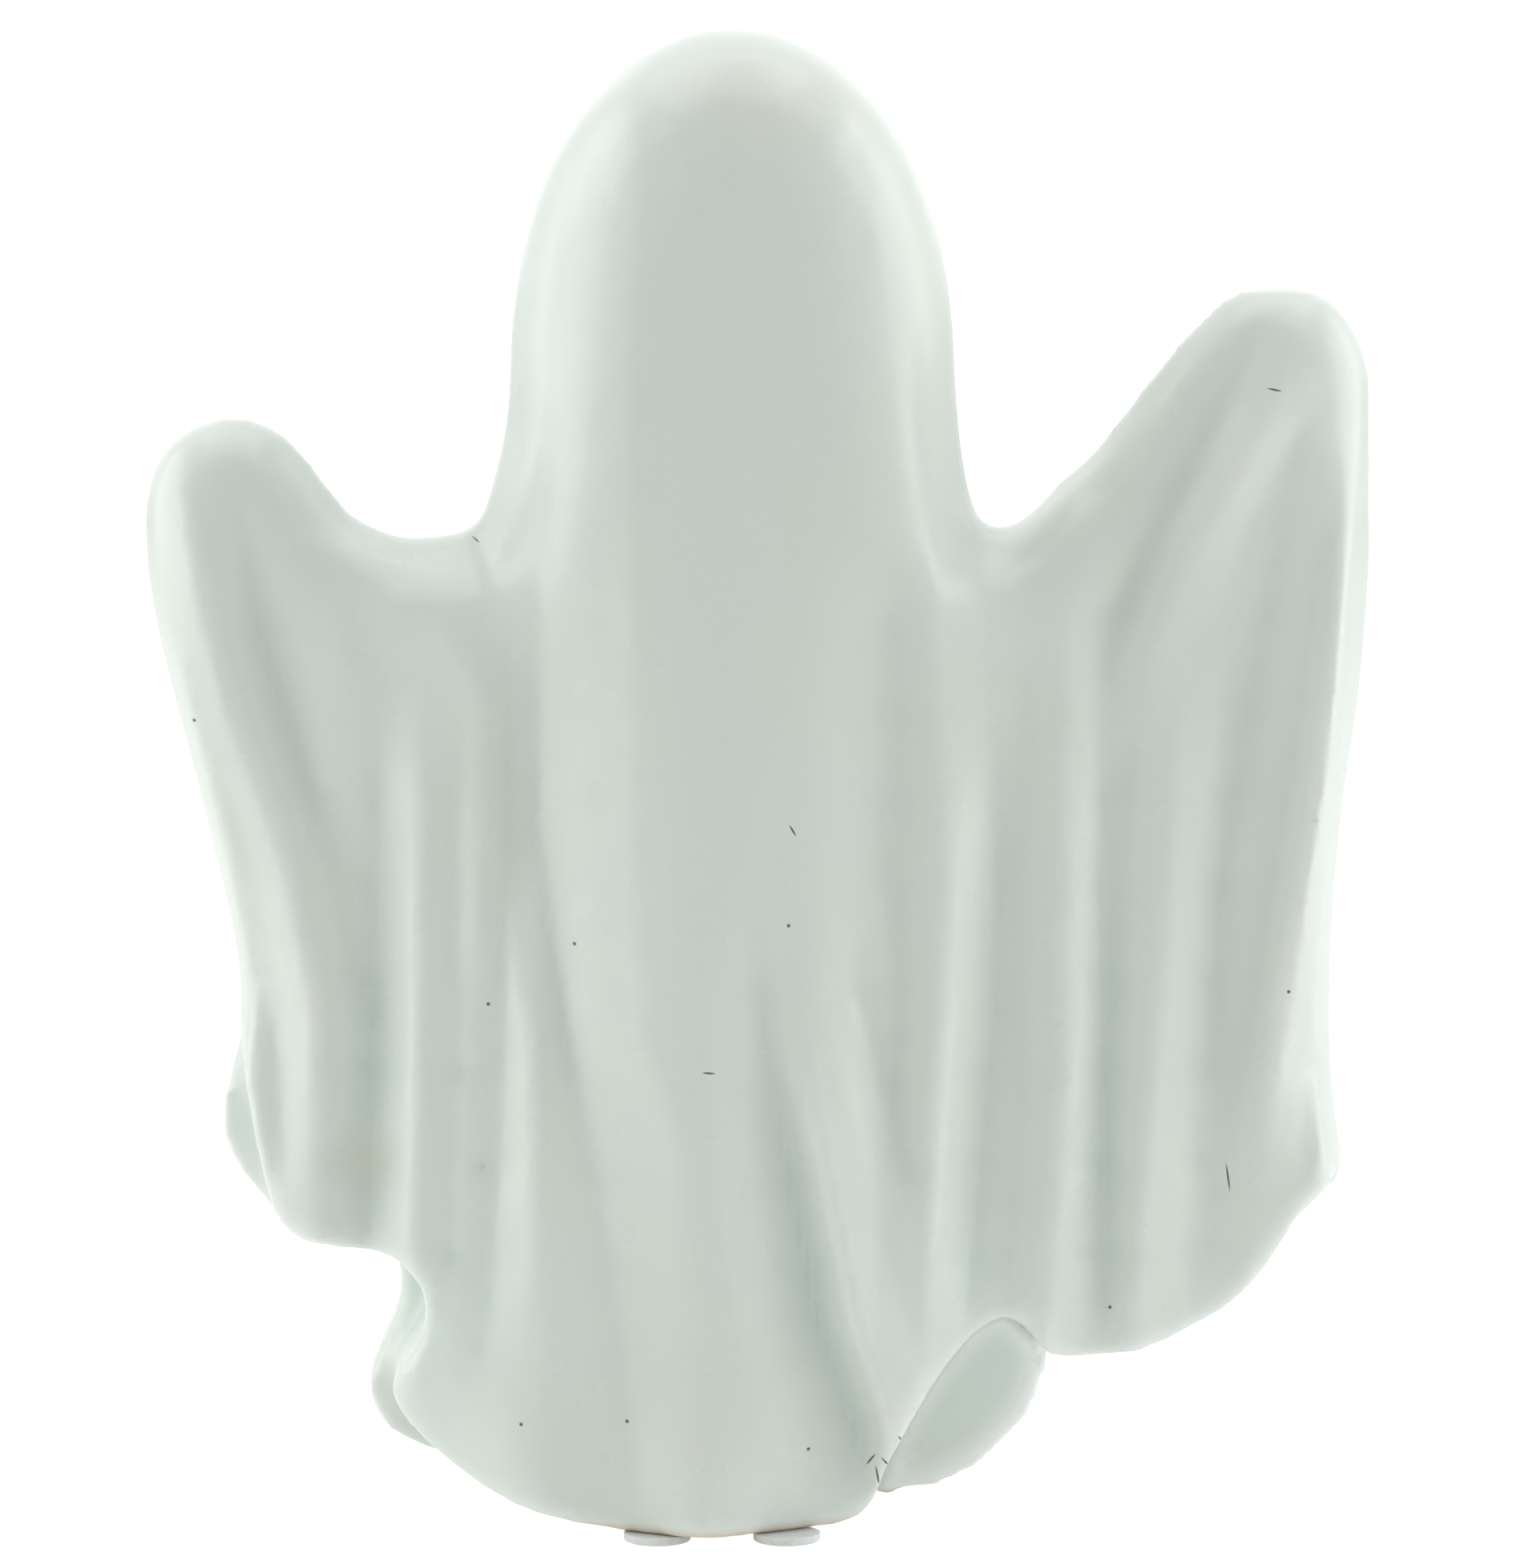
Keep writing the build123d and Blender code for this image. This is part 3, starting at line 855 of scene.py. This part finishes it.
def black_glaze():
    # Black glaze pooled in a hollow: deep black, a little browner where thin, with a wet gloss.
    material, tree, shader = new_material("black_pooled_glaze")
    place = add_node(tree, "ShaderNodeTexCoord").outputs["Object"]
    pool_scale = {"Vector": place, "Scale": 1 / (POOL_SIZE * MM)}
    pool = add_node(tree, "ShaderNodeTexNoise", pool_scale).outputs["Fac"]
    span = {"Value": pool, "From Min": 0.45, "From Max": 0.75}
    thin = add_node(tree, "ShaderNodeMapRange", span).outputs["Result"]
    over = {0: thin, MIX_A: linear(BLACK), MIX_B: linear(BLACK_THIN)}
    colour = add_node(tree, "ShaderNodeMix", over, data_type="RGBA").outputs[MIX_RESULT]
    tree.links.new(colour, shader.inputs["Base Color"])
    wet = {"Value": thin, "To Min": 0.08, "To Max": 0.2}
    rough = add_node(tree, "ShaderNodeMapRange", wet).outputs["Result"]
    tree.links.new(rough, shader.inputs["Roughness"])
    shader.inputs["IOR"].default_value = GLAZE_IOR
    peel_scale = {"Vector": place, "Scale": 1 / (PEEL_SIZE * MM)}
    peel = add_node(tree, "ShaderNodeTexNoise", peel_scale).outputs["Fac"]
    peels = {"Height": peel, "Strength": 0.2, "Distance": PEEL_DEPTH * MM}
    peeled = add_node(tree, "ShaderNodeBump", peels).outputs["Normal"]
    tree.links.new(peeled, shader.inputs["Normal"])
    return material


pool_black = black_glaze()
pools = sorted(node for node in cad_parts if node.endswith("_glaze"))
for node in pools:
    give(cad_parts[node], pool_black)
print("black glaze on", pools)

# %% Clear silicone under the foot
SILICONE = "#EDF1EF"
SILICONE_DUSTY = "#E0E3DE"
SILICONE_IOR = 1.41
DUST_SIZE = 1.2
LIGHT_REACH = 2 * MM


def clear_silicone():
    # Moulded silicone bumper: milky and soft, with light passing into it and a bloom of dust.
    material, tree, shader = new_material("clear_silicone")
    place = add_node(tree, "ShaderNodeTexCoord").outputs["Object"]
    dust_scale = {"Vector": place, "Scale": 1 / (DUST_SIZE * MM)}
    bloom = add_node(tree, "ShaderNodeTexNoise", dust_scale).outputs["Fac"]
    span = {"Value": bloom, "From Min": 0.45, "From Max": 0.7}
    dust = add_node(tree, "ShaderNodeMapRange", span).outputs["Result"]
    over = {0: dust, MIX_A: linear(SILICONE), MIX_B: linear(SILICONE_DUSTY)}
    colour = add_node(tree, "ShaderNodeMix", over, data_type="RGBA").outputs[MIX_RESULT]
    tree.links.new(colour, shader.inputs["Base Color"])
    dull = {"Value": dust, "To Min": 0.3, "To Max": 0.55}
    rough = add_node(tree, "ShaderNodeMapRange", dull).outputs["Result"]
    tree.links.new(rough, shader.inputs["Roughness"])
    shader.inputs["IOR"].default_value = SILICONE_IOR
    shader.inputs["Subsurface Weight"].default_value = 0.6
    shader.inputs["Subsurface Radius"].default_value = (LIGHT_REACH, LIGHT_REACH, LIGHT_REACH)
    shader.inputs["Subsurface Scale"].default_value = 1.0
    return material


dot_clear = clear_silicone()
dots = sorted(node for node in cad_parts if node.startswith("foot_dot"))
for node in dots:
    give(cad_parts[node], dot_clear)
print("silicone on", dots)

# %% [markdown]
# ## Tying the casting to the frame
#
# The finished casting takes the place of the construction's shell. Nothing on the figure moves, so
# it rides on the root body. Eyes, mouth and dots are the frame's own nodes and stay where they are.

# %% Tie the piece to the frame
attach(ghost, "root")
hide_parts("ghost_shell")
print("casting rides on root")

# %% [markdown]
# ## Camera, floor and light
#
# The figure stands in a white light tent and is seen from behind, a little from above. The tent's
# sides and top are bright, and the side where the camera stands is a little darker. That is why
# the surfaces that face the camera are the greyest and every slope and rim is brighter.

# %% Camera at the photo's angle
CAMERA_DISTANCE = 1.3
CAMERA_ELEVATION = math.radians(8)
FRAME_WIDTH = 0.1839
SENSOR_WIDTH = 36.0
AIM = Vector((0.0, 0.0, 87.5 * MM))


def facing(place, target):
    return (target - place).to_track_quat("-Z", "Y").to_euler()


towards_camera = Vector((0.0, math.cos(CAMERA_ELEVATION), math.sin(CAMERA_ELEVATION)))
camera_place = AIM + CAMERA_DISTANCE * towards_camera
bpy.ops.object.camera_add(location=camera_place, rotation=facing(camera_place, AIM))
camera = bpy.context.active_object
camera.data.sensor_fit = "HORIZONTAL"
camera.data.sensor_width = SENSOR_WIDTH
camera.data.lens = SENSOR_WIDTH * CAMERA_DISTANCE / FRAME_WIDTH
bpy.context.scene.camera = camera
print("lens in mm:", round(camera.data.lens, 1))

# %% Floor
# The camera sees the floor lifted to the tent's white. The figure gets only a little of its glow.
FLOOR_SIZE = 8.0
FLOOR_WHITE = "#F4F5F4"
FLOOR_LIFT = 0.85
FLOOR_GLOW = 0.2

bpy.ops.mesh.primitive_plane_add(size=FLOOR_SIZE)
floor = bpy.context.active_object
floor.name = "floor"
floor_material, tree, shader = new_material("white_tent_floor")
shader.inputs["Base Color"].default_value = linear(FLOOR_WHITE)
shader.inputs["Roughness"].default_value = 0.9
shader.inputs["Specular IOR Level"].default_value = 0.0
shader.inputs["Emission Color"].default_value = (1.0, 1.0, 1.0, 1.0)
seen = add_node(tree, "ShaderNodeLightPath").outputs["Is Camera Ray"]
glow = {"Value": seen, "To Min": FLOOR_GLOW, "To Max": FLOOR_LIFT}
lift = add_node(tree, "ShaderNodeMapRange", glow).outputs["Result"]
tree.links.new(lift, shader.inputs["Emission Strength"])
give(floor, floor_material)
print("floor of", FLOOR_SIZE, "m")

# %% World
# Camera, glossy and transmission rays meet a white tent, and the rest of the light is dimmer.
WORLD_LIGHT = 0.37

world = bpy.data.worlds.new("white_tent")
bpy.context.scene.world = world
world.use_nodes = True
tree = world.node_tree
background = tree.nodes["Background"]
background.inputs["Color"].default_value = (1.0, 1.0, 1.0, 1.0)
rays = add_node(tree, "ShaderNodeLightPath").outputs
seen = rays["Is Camera Ray"]
for kind in ("Is Glossy Ray", "Is Transmission Ray"):
    both = {0: seen, 1: rays[kind]}
    seen = add_node(tree, "ShaderNodeMath", both, operation="ADD", use_clamp=True).outputs["Value"]
light = {"Value": seen, "To Min": WORLD_LIGHT, "To Max": 1.0}
strength = add_node(tree, "ShaderNodeMapRange", light).outputs["Result"]
tree.links.new(strength, background.inputs["Strength"])
print("world light:", WORLD_LIGHT)

# %% Lamps
# Each lamp is its place and size in metres and its power in watts.
LAMPS = {
    "left_tent_wall": ((0.7, -0.1, 0.3), 0.7, 2.5),
    "right_tent_wall": ((-0.7, -0.1, 0.3), 0.7, 2.5),
    "tent_top": ((0.0, -0.1, 0.9), 0.9, 3.2),
    "tent_back": ((0.0, -0.9, 0.4), 0.9, 0.9),
}

for name, (place, size, power) in LAMPS.items():
    place = Vector(place)
    bpy.ops.object.light_add(type="AREA", location=place, rotation=facing(place, AIM))
    lamp = bpy.context.active_object
    lamp.name = name
    lamp.data.size = size
    lamp.data.energy = power
bpy.context.scene.view_settings.view_transform = "Standard"
print("lamps:", sorted(LAMPS))
